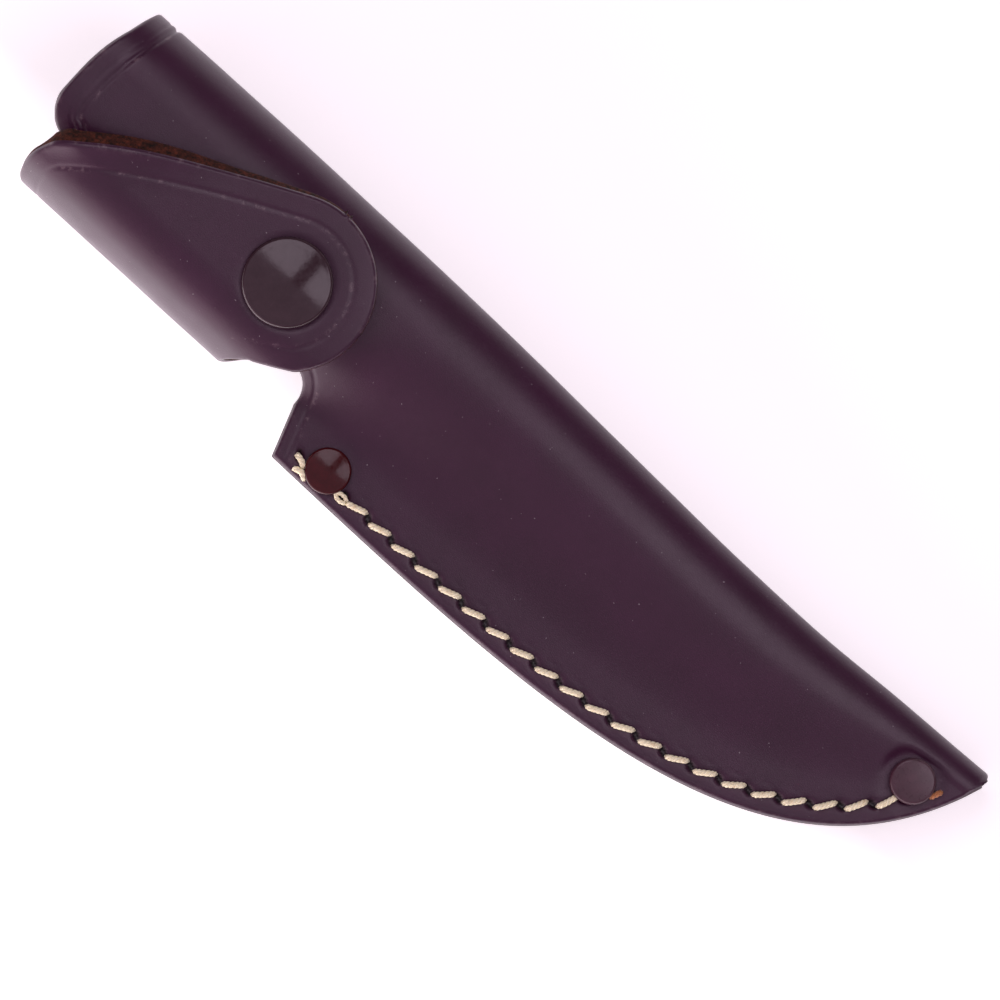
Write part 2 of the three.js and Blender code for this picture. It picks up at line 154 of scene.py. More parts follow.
def crown(u):
    """Height of the front panel's ridge above the back panel's outer face."""
    return np.where(u < POCKET_END_U, MOUTH_CROWN - CROWN_TAPER * u, blade_crown(u))


def flap_top(u):
    """Height of the flap's outer face above the back panel's."""
    return MOUTH_WRAP - WRAP_TAPER * u


def back_z(u):
    """Height of the back panel's outer face above the table."""
    return BACK_Z - CAMBER_DROP * smoothstep(u, CAMBER_START, CAMBER_END)


# Corners of the cut leather
SPINE_CORNER = (3.3, 0.6)
MOUTH_BREAK = (2.5, -4.5)  # where the mouth's edge starts to curve, just off the fold
FRONT_CORNER = (0.9, -19)
BACK_CORNER = (4.3, WRAP_V)
NOTCH_TOP = (58.6, -27.7)
SHOULDER = (SHOULDER_U, -40.9)

SEAM_EDGE = bezier(SHOULDER, (129, -41.7), (176.4, -41.7), (TIP_U, -2.2), n=400)
NOTCH_EDGE = np.vstack([bezier(NOTCH_TOP, (62.1, -27.9), (62.9, -31.4), n=16), SHOULDER])
BACK_NOTCH = np.vstack([bezier((61.5, WRAP_V), (63.1, -25.5), (63.3, -31.4), n=16), SHOULDER])
EAR_EDGE = np.array([(4.6, -25.6), (52, -27.4), NOTCH_TOP])
EAR_CORNER = bezier(FRONT_CORNER, (1.2, -24.4), (5, -25.6), n=12)
MOUTH_CURVE = bezier(MOUTH_BREAK, (0.8, -11), FRONT_CORNER, n=12)
FRONT_MOUTH = np.vstack([SPINE_CORNER, MOUTH_CURVE, EAR_CORNER[1:]])
BACK_MOUTH = np.vstack([SPINE_CORNER, bezier(MOUTH_BREAK, (2.6, -13), BACK_CORNER, n=12)])
FRONT_FREE_EDGE = np.vstack([EAR_EDGE, NOTCH_EDGE[1:], SEAM_EDGE[1:]])
BACK_FREE_EDGE = np.vstack([BACK_CORNER, BACK_NOTCH, SEAM_EDGE[1:]])


def seam_v(u):
    return np.interp(u, SEAM_EDGE[:, 0], SEAM_EDGE[:, 1])


def fold_at(u):
    """Width of the spine fold, which narrows where the seam reaches it at the tip."""
    return np.minimum(fold_width(u), spine_v(u) - seam_v(u) - 1.0)


def front_w(u, v):
    """Height of the front panel's outer face above the back panel's."""
    across, fold, top = spine_v(u) - v, fold_at(u), crown(u)
    inside = np.clip((fold - across) / fold, 0, 1)
    on_fold = top / 2 * (1 + np.sqrt(1 - inside**2))
    flat = np.maximum(spine_v(u) - seam_v(u) - SEAM_BAND, fold + 1)
    x = np.clip((across - fold) / (flat - fold), 0, 1)
    return np.where(across < fold, on_fold, STACK + (top - STACK) * (1 - x ** falloff(u)) ** 2)


# ---- Distances along the leather
def distance_to(points, line):
    """Each 2-D point's distance to a polyline, with the length along the line and the side it lies on."""
    a, b = line[:-1], line[1:]
    span = b - a
    length = np.linalg.norm(span, axis=1)
    start = np.concatenate([[0], np.cumsum(length)[:-1]])
    best = np.full(len(points), np.inf)
    along = np.zeros(len(points))
    side = np.ones(len(points))
    for k in range(len(a)):
        rel = points - a[k]
        t = np.clip(rel @ span[k] / max(length[k] ** 2, TINY), 0, 1)
        off = rel - t[:, None] * span[k]
        d = np.linalg.norm(off, axis=1)
        near = d < best
        best[near] = d[near]
        along[near] = start[k] + t[near] * length[k]
        side[near] = np.sign(span[k][0] * rel[near, 1] - span[k][1] * rel[near, 0])
    return best, along, side


def rounded(distance, radius):
    """How far a surface drops towards its cut edge, as a quarter circle."""
    x = np.clip(1 - distance / radius, 0, 1)
    return radius * (1 - np.sqrt(1 - x * x))


def groove(distance, at, width, depth):
    """How deep a pressed line is, at a distance from its edge."""
    return depth * np.exp(-(((distance - at) / width) ** 2))


def undulation(points, size, height, seed):
    """Slow unevenness of the leather, in millimetres."""
    shift = Vector((seed, seed * 0.37, 0))
    values = [noise.noise(Vector(p) / size + shift) for p in points]
    return height * np.array(values)


def rub(distance, width):
    """Wear along a line, fading at this width."""
    return np.exp(-((distance / width) ** 2))


# ---- Meshes
def link(obj):
    bpy.context.scene.collection.objects.link(obj)
    return obj


GRAIN, FLESH, CUT = 0, 1, 2  # material slots of a piece of leather


def mesh_object(name, points, faces, materials, face_materials=None):
    """A smooth mesh from plan points. It keeps them as grain_place, so that its grain bends with it."""
    mesh = bpy.data.meshes.new(name)
    mesh.from_pydata(to_frame(points).tolist(), [], faces)
    if face_materials is not None:
        mesh.polygons.foreach_set("material_index", np.asarray(face_materials, np.int32))
    mesh.polygons.foreach_set("use_smooth", np.ones(len(mesh.polygons), bool))
    grain = mesh.attributes.new("grain_place", "FLOAT_VECTOR", "POINT")
    grain.data.foreach_set("vector", np.asarray(points, np.float32).ravel())
    for material in materials:
        mesh.materials.append(material)
    mesh.update()
    return link(bpy.data.objects.new(name, mesh))


def grid_normals(grid):
    du = np.gradient(grid, axis=0)
    dv = np.gradient(grid, axis=1)
    n = np.cross(du, dv)
    return n / np.maximum(np.linalg.norm(n, axis=2, keepdims=True), TINY)


EDGE_ROWS = 3  # rows of vertices across a cut edge
EDGE_BULGE = 0.2
EDGE_ROUND = 0.75  # radius of the rounding along a cut edge
EDGE_WEAR = 0.7


def hide(name, outer, thickness, sink, inner_drop, bulge, materials, wear_and_slit_shade=None, flare=None):
    """A sheet of leather on a grid of outer points, whose rows crossed with columns point out of the leather.

    sink presses the outer face in, inner_drop rounds off the inner face, bulge swells the rim, and flare
    moves the inner face where an edge is cut at a slant. The wear values, negative where painted shade
    darkens the stitch slits, are kept on the outer face for the material.
    """
    rows, columns, _ = outer.shape
    normals = grid_normals(outer)
    lowest, highest = outer[..., 0].min(), outer[..., 0].max()
    face = outer - normals * sink[..., None]
    inner = outer - normals * (thickness - inner_drop)[..., None]
    for sheet in (face, inner):
        sheet[..., 0] = sheet[..., 0].clip(lowest, highest)
    if flare is not None:
        inner += flare
    index = np.arange(rows * columns).reshape(rows, columns)
    loop = np.concatenate([index[0, :], index[1:, -1], index[-1, -2::-1], index[-2:0:-1, 0]])
    rim_outer, rim_inner = face.reshape(-1, 3)[loop], inner.reshape(-1, 3)[loop]
    tangent = np.roll(rim_outer, -1, 0) - np.roll(rim_outer, 1, 0)
    away = np.cross(normals.reshape(-1, 3)[loop], tangent)
    away /= np.maximum(np.linalg.norm(away, axis=1, keepdims=True), TINY)
    away *= bulge.reshape(-1)[loop][:, None]
    shares = [k / (EDGE_ROWS + 1) for k in range(1, EDGE_ROWS + 1)]
    rim = [rim_outer * (1 - t) + rim_inner * t + away * math.sin(math.pi * t) for t in shares]
    points = np.vstack([face.reshape(-1, 3), inner.reshape(-1, 3), *rim])
    total = rows * columns
    quads = np.stack([index[:-1, :-1], index[1:, :-1], index[1:, 1:], index[:-1, 1:]], -1).reshape(-1, 4)
    faces = [*quads.tolist(), *(quads[:, ::-1] + total).tolist()]
    kinds = [GRAIN] * len(quads) + [FLESH] * len(quads)
    rim_index = [2 * total + k * len(loop) + np.arange(len(loop)) for k in range(EDGE_ROWS)]
    bands = [loop, *rim_index, loop + total]
    for upper, lower in zip(bands, bands[1:]):
        faces += np.stack([upper, np.roll(upper, -1), np.roll(lower, -1), lower], -1).tolist()
        kinds += [CUT] * len(loop)
    obj = mesh_object(name, points, faces, materials, kinds)
    if wear_and_slit_shade is not None:
        values = np.zeros(len(points), np.float32)
        values[:total] = wear_and_slit_shade.reshape(-1)
        wear_and_shade_channel = obj.data.attributes.new("wear_and_slit_shade", "FLOAT", "POINT")
        wear_and_shade_channel.data.foreach_set("value", values)
    return obj


def turned(name, profile, centre, w, material, segments=64):
    """A turned part about a vertical axis. profile is (radius, height) pairs round its closed section."""
    angles = [2 * math.pi * k / segments for k in range(segments)]
    points, faces, rings = [], [], []
    for radius, height in profile:
        around = angles if radius > 0 else angles[:1]
        rings.append(range(len(points), len(points) + len(around)))
        for a in around:
            points.append((centre[0] + radius * math.cos(a), centre[1] + radius * math.sin(a), w + height))
    pairs = list(zip(rings, rings[1:]))
    if len(rings[0]) > 1:
        pairs.append((rings[-1], rings[0]))
    for low, high in pairs:
        for k in range(segments):
            j = (k + 1) % segments
            corners = (low[k % len(low)], high[k % len(high)], high[j % len(high)], low[j % len(low)])
            faces.append(list(dict.fromkeys(corners)))
    obj = mesh_object(name, points, faces, [material])
    bm = bmesh.new()
    bm.from_mesh(obj.data)
    bmesh.ops.recalc_face_normals(bm, faces=bm.faces)
    bm.to_mesh(obj.data)
    bm.free()
    obj.data.update()
    return obj


# ---- Stitching
class StitchLine:
    """Slanted stitches along a polyline in plan: a slit at each pitch, and a thread from slit to slit."""

    SLANT = 0.55  # how far a stitch's two ends stand off the line
    STEP_IN = 0.88  # how far along the line a stitch starts from the middle of its slit
    SAMPLE = 0.2  # half the length over which the line's direction is taken
    SLIT_COS, SLIT_SIN = 0.59, 0.81  # direction of a slit from the line
    SLIT_DEPTH, SLIT_WIDTH, SLIT_LENGTH = 0.95, 0.42, 0.95
    CHANNEL_DEPTH, CHANNEL_WIDTH = 0.16, 0.75
    FOOT_DEPTH, FOOT_OFFSET, FOOT_WIDTH, FOOT_LENGTH = 0.05, 1.9, 0.32, 0.8  # marks of the machine's foot
    RIDE_HEIGHT = 0.62  # of the thread's radius
    TUCK_DEPTH, TUCK_LENGTH = 1.5, 0.55  # how a stitch's ends go down into the slits
    BOW = 0.1  # how much a stitch rises at its middle

    def __init__(self, line, start, pitch, count):
        self.line = np.asarray(line, float)
        self.start, self.pitch, self.count = start, pitch, count
        span = np.linalg.norm(np.diff(self.line, axis=0), axis=1)
        self.length = np.concatenate([[0], np.cumsum(span)])

    def on_line(self, along):
        """The line's own point at a length along it."""
        return tuple(np.interp(along, self.length, self.line[:, axis]) for axis in (0, 1))

    def at(self, along, across):
        """The plan point at a length along the line, offset to its left."""
        u, v = self.on_line(along)
        ahead_u, ahead_v = self.on_line(along + self.SAMPLE)
        behind_u, behind_v = self.on_line(along - self.SAMPLE)
        du, dv = ahead_u - behind_u, ahead_v - behind_v
        size = np.hypot(du, dv)
        return u - dv / size * across, v + du / size * across

    def press(self, points, mirrored=False):
        """How far the slits, the thread's channel and the machine's foot sink the leather at plan points."""
        d, along, side = distance_to(points, self.line)
        across = d * side
        slant = -1 if mirrored else 1
        k = np.clip(np.round((along - self.start) / self.pitch), 0, self.count)
        a = along - self.start - k * self.pitch
        lengthwise = self.SLIT_COS * a - self.SLIT_SIN * across * slant
        sideways = self.SLIT_SIN * a + self.SLIT_COS * across * slant
        slit = self.SLIT_DEPTH * rub(sideways, self.SLIT_WIDTH) * rub(lengthwise, self.SLIT_LENGTH)
        sewn = (along > self.start) & (along < self.start + self.count * self.pitch)
        channel = self.CHANNEL_DEPTH * rub(across, self.CHANNEL_WIDTH) * sewn
        from_mark = a - self.pitch / 2 * np.sign(a)
        mark = self.FOOT_DEPTH * rub(from_mark, self.FOOT_LENGTH) * sewn
        return slit + channel + mark * rub(across - self.FOOT_OFFSET, self.FOOT_WIDTH)

    def stitches(self, height, up=1, mirrored=False, skip=()):
        """A path of 3-D points for each stitch. height gives the leather's face, and up is 1 or -1."""
        slant = self.SLANT * (-1 if mirrored else 1)
        paths = []
        for k in range(self.count):
            if k in skip:
                continue
            first = self.start + k * self.pitch + self.STEP_IN
            last = self.start + (k + 1) * self.pitch - self.STEP_IN
            t = np.linspace(0, 1, 26)
            u, v = self.at(first + (last - first) * t, slant * (2 * t - 1))
            from_end = np.minimum(t, 1 - t) * (last - first)
            tuck = self.TUCK_DEPTH * np.clip(1 - from_end / self.TUCK_LENGTH, 0, 1) ** 2
            lift = THREAD_RADIUS * self.RIDE_HEIGHT - tuck + self.BOW * np.sin(math.pi * t)
            paths.append(np.column_stack([u, v, height(u, v) + up * lift]))
        return paths


def square_to(path):
    """Two directions square to a 3-D path at each of its points: sideways, and upwards."""
    tangent = np.gradient(path, axis=0)
    tangent /= np.linalg.norm(tangent, axis=1, keepdims=True)
    side = np.cross(tangent, (0, 0, 1))
    side /= np.maximum(np.linalg.norm(side, axis=1, keepdims=True), TINY)
    return side, np.cross(side, tangent)


def tube(path, radius, sides=8):
    """Points and faces of a closed tube along a path."""
    n = len(path)
    side, top = square_to(path)
    angle = 2 * math.pi * np.arange(sides) / sides
    ring = np.cos(angle)[None, :, None] * side[:, None, :] + np.sin(angle)[None, :, None] * top[:, None, :]
    points = (path[:, None, :] + radius * ring).reshape(-1, 3)
    index = np.arange(n * sides).reshape(n, sides)
    after = np.roll(index, -1, axis=1)
    faces = np.stack([index[:-1], after[:-1], after[1:], index[1:]], -1).reshape(-1, 4).tolist()
    faces += [index[0, ::-1].tolist(), index[-1].tolist()]
    return points, faces


STRANDS = 3
TWIST_PITCH = 2.3  # length of one turn of the strands
STRAND_OFFSET, STRAND_RADIUS = 0.46, 0.56  # of the thread's radius


def twisted(path, radius):
    """The strands of a twisted thread along a path."""
    side, top = square_to(path)
    length = np.concatenate([[0], np.cumsum(np.linalg.norm(np.diff(path, axis=0), axis=1))])
    made = []
    for k in range(STRANDS):
        angle = (2 * math.pi * (length / TWIST_PITCH + k / STRANDS))[:, None]
        made.append(path + radius * STRAND_OFFSET * (np.cos(angle) * side + np.sin(angle) * top))
    return made


def thread_object(name, paths, material, radius=THREAD_RADIUS):
    points, faces, count = [], [], 0
    for path in paths:
        for strand in twisted(path, radius):
            p, f = tube(strand, radius * STRAND_RADIUS)
            points.append(p)
            faces += [[i + count for i in face] for face in f]
            count += len(p)
    return mesh_object(name, np.vstack(points), faces, [material])


def left_of(line):
    """The direction to the left of a plan line, at each of its points."""
    tangent = np.gradient(line, axis=0)
    tangent /= np.linalg.norm(tangent, axis=1, keepdims=True)
    return np.column_stack([-tangent[:, 1], tangent[:, 0]])


SEAM_LINE = SEAM_EDGE + SEAM_INSET * left_of(SEAM_EDGE)
SEAM_STITCHES = StitchLine(SEAM_LINE, SEAM_START, STITCH_PITCH, STITCH_COUNT)


# ---- The leather body: front panel, spine fold and back panel in one piece
def press_flat(points, centre, radius, reach):
    """1 under a rivet or stud head, easing to 0 at its reach."""
    d = np.hypot(points[:, 0] - centre[0], points[:, 1] - centre[1])
    return 1 - smoothstep(d, radius, reach)


def body_rows():
    """Places of the grid's rows along u, closer together where the shape turns quickly."""
    stretches = [(0, 10, 0.3), (10, 58, 0.6), (58, 68, 0.2), (68, 177, 0.48), (177, TIP_U, 0.25)]
    rows = [np.arange(a, b, step) for a, b, step in stretches]
    return np.concatenate([*rows, [TIP_U]])


def across_shares(fine_count, fine_share, coarse_count):
    """Shares from 0 to 1, closely spaced up to fine_share."""
    fine = np.linspace(0, fine_share, fine_count, endpoint=False)
    return np.concatenate([fine, np.linspace(fine_share, 1, coarse_count)])


FRONT, FOLD, BACK = 0, 1, 2  # zones of the body's grid, in the order of its columns
MOUTH_REACH = 12  # how far the mouth's curve shifts the grid's rows
TIP_SKIVE, SKIVE_LENGTH = 1.5, 6.0  # how much thinner the hide is at the tip, where it folds tightest
RIVET_SEAT, RIVET_REACH, BACK_REACH = 4.3, 6.5, 5.5  # radii of the dents round the rivets' heads
EAR_SEAT, EAR_REACH, EAR_SINK = 5.4, 8.0, 0.8  # the ear's seat for the press stud's lower half


def body_grid():
    """The body's outer points as a grid, with each point's zone and where the mouth lies there."""
    station = body_rows()[:, None]
    edge_v = np.interp(station, FRONT_FREE_EDGE[:, 0], FRONT_FREE_EDGE[:, 1])
    back_v = np.interp(station, BACK_FREE_EDGE[:, 0], BACK_FREE_EDGE[:, 1])
    fold = fold_at(station)
    centre = spine_v(station) - fold
    front_share = across_shares(22, 0.27, 24)[None, :]
    angle = np.radians(np.linspace(90, -90, 28))[None, 1:-1]
    back_share = across_shares(8, 0.06, 24)[None, ::-1]
    front = edge_v + (centre - edge_v) * front_share
    turn = centre + fold * np.cos(angle)
    back = back_v + (centre - back_v) * back_share
    v = np.hstack([front, turn, back])
    zone = np.array([FRONT] * front.shape[1] + [FOLD] * turn.shape[1] + [BACK] * back.shape[1])
    mouth = np.where(
        zone == BACK,
        np.interp(-v, -BACK_MOUTH[:, 1], BACK_MOUTH[:, 0]),
        np.interp(-v, -FRONT_MOUTH[:, 1], FRONT_MOUTH[:, 0]),
    )
    u = station + mouth * np.clip(1 - station / MOUTH_REACH, 0, 1)
    full_angle = np.hstack([np.zeros((1, front.shape[1])), angle, np.zeros((1, back.shape[1]))])
    on_turn = crown(u) / 2 * (1 + np.sin(full_angle))
    w = back_z(u) + np.where(zone == FRONT, front_w(u, v), np.where(zone == FOLD, on_turn, 0))
    return np.dstack([u, v, w]), np.broadcast_to(zone, u.shape).ravel(), mouth.ravel()


def seam_sink(plan, zone, near):
    """How far the seam's stitches sink both panels."""
    sink = np.zeros(len(plan))
    for side, mirrored in ((FRONT, False), (BACK, True)):
        chosen = near & (zone == side) & (plan[:, 0] > SHOULDER_U)
        sink[chosen] = SEAM_STITCHES.press(plan[chosen], mirrored)
    return sink


def hardware_sink(points, zone):
    """How far the rivets' heads and the press stud sink the leather round them."""
    plan, height = points[:, :2], points[:, 2]
    sink = np.zeros(len(points))
    for rivet_place in (THROAT_RIVET, TIP_RIVET):
        above = np.maximum(height - (back_z(rivet_place[0]) + STACK), 0)
        sink += press_flat(plan, rivet_place, RIVET_SEAT, RIVET_REACH) * (above + 0.12) * (zone == FRONT)
        sink += press_flat(plan, rivet_place, RIVET_SEAT, BACK_REACH) * 0.08 * (zone == BACK)
    ear = press_flat(plan, (SNAP_U, SNAP_V), EAR_SEAT, EAR_REACH)
    seat_w = BACK_Z + crown(SNAP_U) - EAR_SINK
    return sink + ear * np.maximum(height - seat_w, 0) * (zone == FRONT)


def body_sheet():
    outer, zone, mouth_u = body_grid()
    shape = outer.shape[:2]
    flat = outer.reshape(-1, 3)
    plan = flat[:, :2]
    from_mouth = np.where(zone == FRONT, distance_to(plan, FRONT_MOUTH)[0], flat[:, 0] - mouth_u)
    from_front = distance_to(plan, FRONT_FREE_EDGE)[0]
    from_back = distance_to(plan, BACK_FREE_EDGE[1:])[0]
    from_free = np.where(zone == FRONT, from_front, from_back)
    from_free = np.where(zone == FOLD, TIP_U - flat[:, 0], from_free)
    from_notch = distance_to(plan, NOTCH_EDGE)[0]
    on_join = (zone == BACK) & (flat[:, 0] < BACK_NOTCH[0, 0])
    from_edge = np.minimum(from_mouth, np.where(on_join, np.inf, from_free))

    creases = groove(from_mouth, 4.3, 0.38, 0.24 + 0.16 * (zone == FOLD))
    creases += groove(from_mouth, 2.9, 0.28, 0.15) + groove(from_notch, 2.3, 0.35, 0.12) * (zone == FRONT)
    stitched = seam_sink(plan, zone, from_free < SEAM_BAND - 1)
    sink = rounded(from_edge, EDGE_ROUND) + creases + stitched
    sink += hardware_sink(flat, zone) + undulation(flat, 14, 0.07, 3)
    # Rubbed lines along the creases and cut edges; the stitches push the values below zero, which the
    # material paints as shade in the slits.
    wear_and_shade_channel = rub(from_mouth - 4.7, 0.25) + rub(from_notch - 2.8, 0.3) * (zone == FRONT)
    wear_and_shade_channel += EDGE_WEAR * rub(from_edge, 0.6) - np.clip(stitched / 0.5, 0, 1)
    drop = rounded(from_mouth, 0.5) + rounded(np.where(zone == FOLD, from_free, np.inf), 0.4)
    bulge = np.where(on_join, 0, EDGE_BULGE)
    return hide(
        "hide_body",
        outer,
        HIDE - TIP_SKIVE * smoothstep(outer[..., 0], TIP_U - SKIVE_LENGTH, TIP_U),
        sink.reshape(shape),
        drop.reshape(shape),
        bulge.reshape(shape),
        LEATHER_SLOTS,
        wear_and_shade_channel.reshape(shape),
    )


# ---- The side wall and the retaining flap, one piece of the same hide
WALL_MOUTH = [(0, 4.3), (60, 5.1), (90, 5.0), (115, 4.3), (135, 4.1), (150, 4.6), (163, 5.9)]
WALL_END = [(0, 61.5), (21, 59), (36, 54.5), (55, 51.5), (90, 49.6), (115, 50.4), (135, 53)]
FLAP_UPPER_EDGE = bezier((5.9, -27.3), (15.2, -18), (43, -4.9), n=40)
FLAP_LOWER_EDGE = bezier((53, -32.2), (56.5, -30.6), (59.7, -28.6), n=12)
FLAP_TOP_V = SNAP_V + FLAP_END_RADIUS
TOP_ANGLE, LOWER_ANGLE = 163, 135  # degrees round the bend where the flap's two edges take over
RAW_EDGE = 1.15  # how far the flap's slanted upper edge shows beside its grain
CURL = 1.5  # how far the flap's upper corner lifts
DROOP = 0.55  # how far its rounded end hugs the body
CAP_SEAT, CAP_DENT = (7.4, 8.6), 0.22  # radii and depth of the dent under the press stud's cap
FLAP_ROWS = 132


def flap_ends(angle, v):
    """Where the flap's leather starts and ends along u, at an angle round the bend and then at a v."""
    start = through(WALL_MOUTH)(angle)
    on_edge = np.interp(v, FLAP_UPPER_EDGE[:, 1], FLAP_UPPER_EDGE[:, 0])
    chord = np.sqrt(np.maximum(FLAP_END_RADIUS**2 - (v - SNAP_V) ** 2, 0))
    on_top = np.where(v < FLAP_UPPER_EDGE[-1, 1], on_edge, SNAP_U - chord)
    start = np.where(angle > TOP_ANGLE, on_top, start)
    on_lower = np.interp(v, FLAP_LOWER_EDGE[:, 1], FLAP_LOWER_EDGE[:, 0])
    on_bottom = np.where(v < FLAP_LOWER_EDGE[-1, 1], on_lower, SNAP_U + chord)
    end = np.where(angle > LOWER_ANGLE, on_bottom, through(WALL_END)(angle))
    return start, end


def flap_grid():
    """The flap's outer points before it curls, its columns' angles round the bend, and their ends."""
    angle = np.concatenate([np.linspace(0, 130, 74), np.linspace(130, 180, 44)[1:]])
    turn = np.linspace(0, math.pi / 2, 62)[1:]
    flat_v = WRAP_V + (FLAP_TOP_V - 0.01 - WRAP_V) * np.sin(turn)
    angles = np.concatenate([angle, np.full(len(flat_v), 180)])
    plan_v = np.concatenate([WRAP_V - WRAP_WIDTH * np.sin(np.radians(angle)), flat_v])
    start, end = flap_ends(angles, plan_v)
    even = np.linspace(0, 1, FLAP_ROWS)
    share = 0.55 * (1 - np.cos(math.pi * even)) / 2 + 0.45 * even
    u = start + (end - start) * share[:, None]
    v = np.broadcast_to(plan_v, u.shape)
    w = BACK_Z + flap_top(u) / 2 * (1 - np.cos(np.radians(angles)))
    return np.dstack([u, v, w]), angles, start, end


def flap_sheet():
    grid, angles, start, end = flap_grid()
    shape = grid.shape[:2]
    u, v, w = grid[..., 0], grid[..., 1], grid[..., 2]

    # Lengths round the section, so that creases run at a true distance from the edge.
    step = np.hypot(np.diff(v, axis=1), np.diff(w, axis=1))
    around = np.hstack([np.zeros((len(u), 1)), np.cumsum(step, axis=1)]).mean(axis=0)
    unrolled = np.column_stack([u.ravel(), np.broadcast_to(around, shape).ravel()])
    from_mouth = distance_to(unrolled, np.column_stack([start, around]))[0].reshape(shape)
    from_end = distance_to(unrolled, np.column_stack([end, around]))[0].reshape(shape)
    from_edge = np.minimum(from_mouth, from_end)

    past_bend = smoothstep(angles, 150, 176)[None, :]
    curl = CURL * (1 - smoothstep(u, 14, 31)) * past_bend * np.clip(1 - from_mouth / 6.5, 0, 1) ** 2
    droop = DROOP * smoothstep(u, 40, 58) * past_bend * np.clip(1 - from_edge / 6, 0, 1) ** 2
    outer = np.dstack([u, v, w + curl - droop])

    pressed = np.where(from_mouth < from_end, smoothstep(angles, 60, 125), past_bend) * 0.13
    crease = groove(from_edge, 3.9, 0.35, 1.0) * pressed
    from_snap = np.hypot(u - SNAP_U, v - SNAP_V)
    seat = CAP_DENT * (1 - smoothstep(from_snap, *CAP_SEAT)) * (angles > 150)
    uneven = undulation(outer.reshape(-1, 3), 12, 0.07, 9).reshape(shape)
    joined = np.broadcast_to(np.arange(len(angles)) == 0, shape)
    sink = rounded(from_edge, EDGE_ROUND) + crease + seat + uneven
    sink = np.where(joined & (u > 5) & (u < 60), 0, sink)
    wear_and_shade_channel = rub(from_edge - 4.2, 0.3) * smoothstep(v, -33, -29) + EDGE_WEAR * rub(from_edge, 0.6)

    slant = RAW_EDGE * (1 - smoothstep(u, 22, 58)) * past_bend * np.clip(1 - from_mouth / 5, 0, 1) ** 1.5
    slope = np.gradient(start, around)
    away = np.column_stack([-np.ones(len(slope)), slope, np.zeros(len(slope))])
    away /= np.linalg.norm(away, axis=1, keepdims=True)
    return hide(
        "hide_flap",
        outer,
        np.full(shape, HIDE),
        sink,
        rounded(from_edge, 0.45) * ~joined,
        np.where(joined, 0, EDGE_BULGE),
        [leather, flesh, raw_edge],
        wear_and_shade_channel,
        slant[..., None] * away,
    )


# ---- The welt between the panels
def welt_strip():
    line = SEAM_EDGE[(SEAM_EDGE[:, 0] > SHOULDER_U + 0.05) & (SEAM_EDGE[:, 1] < -5.4)]
    reach = np.linspace(0, SEAM_BAND - 1, 12)
    plan = line[:, None, :] + reach[None, :, None] * left_of(line)[:, None, :]
    limit = (spine_v(plan[..., 0]) - fold_at(plan[..., 0]) - 0.5)[..., None]
    plan = np.concatenate([plan[..., :1], np.minimum(plan[..., 1:], limit)], axis=-1)
    w = back_z(plan[..., 0]) + 2 * HIDE - FIT
    outer = np.dstack([plan, w])
    none = np.zeros(w.shape)
    return hide("welt_strip", outer, none + HIDE - 2 * FIT, none, none, none + 0.08, [welt_leather] * 3)


# ---- The belt loop on the back
LOOP_TAB = 11.0  # length of a sewn end
LOOP_RAMP = 6.0  # length over which the strap lifts off the back


def loop_path(start, end):
    """The strap's outer face from end to end, as (u, w)."""
    tab_w = BACK_Z - FIT - STRAP_HIDE
    tab_end = start + LOOP_TAB
    first = bezier((tab_end - 1.8, tab_w), (tab_end, 0), (tab_end + LOOP_RAMP, 0), n=20)
    last = first[::-1] * (-1, 1) + (start + end, 0)
    tab = np.column_stack([np.linspace(start, first[0, 0], 24)[:-1], np.full(23, tab_w)])
    middle = np.column_stack([np.linspace(first[-1, 0], last[0, 0], 60)[1:-1], np.zeros(58)])
    far_tab = tab[::-1] * (-1, 1) + (start + end, 0)
    return np.vstack([tab, first, middle, last, far_tab])


def belt_strap():
    start, end = loop_low.x / MM - ORIGIN_X, loop_high.x / MM - ORIGIN_X
    low_v, high_v = loop_low.y / MM - ORIGIN_Y, loop_high.y / MM - ORIGIN_Y
    path = loop_path(start, end)
    across = np.linspace(high_v, low_v, 44)
    u, v = np.broadcast_arrays(path[:, :1], across)
    outer = np.dstack([u, v, np.broadcast_to(path[:, 1:], u.shape)])
    from_side = np.minimum(high_v - v, v - low_v)
    from_end = np.minimum(u - start, end - u)
    edge = np.minimum(from_side, from_end)
    sink = rounded(edge, 0.6) + groove(from_side, 1.4, 0.3, 0.22)
    flat = outer.reshape(-1, 3)
    for line in TAB_STITCHES:
        sink += (0.5 * line.press(flat[:, :2], True)).reshape(u.shape)
    return hide(
        "belt_strap",
        outer,
        np.full(u.shape, STRAP_HIDE),
        sink,
        rounded(edge, 0.3),
        np.full(u.shape, 0.12),
        LEATHER_SLOTS,
        0.8 * rub(edge, 0.6),
    )


def tab_lines(node):
    """The four rows of stitches round a sewn end of the belt loop."""
    low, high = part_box(node)
    half = 0.45
    u0, u1 = low.x / MM - ORIGIN_X + half, high.x / MM - ORIGIN_X - half
    v0, v1 = low.y / MM - ORIGIN_Y + half, high.y / MM - ORIGIN_Y - half
    corners = [(u0, v0), (u1, v0), (u1, v1), (u0, v1), (u0, v0)]
    lines = []
    for a, b in zip(corners, corners[1:]):
        length = math.dist(a, b)
        count = max(1, round(length / 2.6))
        lines.append(StitchLine(np.linspace(a, b, 12), 0, length / count, count))
    return lines


TAB_NODES = ["belt_loop_upper_needle_thread", "belt_loop_lower_needle_thread"]
TAB_STITCHES = [line for node in TAB_NODES for line in tab_lines(node)]


# ---- Materials
def new_material(name):
    material = bpy.data.materials.new(name)
    material.use_nodes = True
    tree = material.node_tree
    return material, tree, tree.nodes["Principled BSDF"]


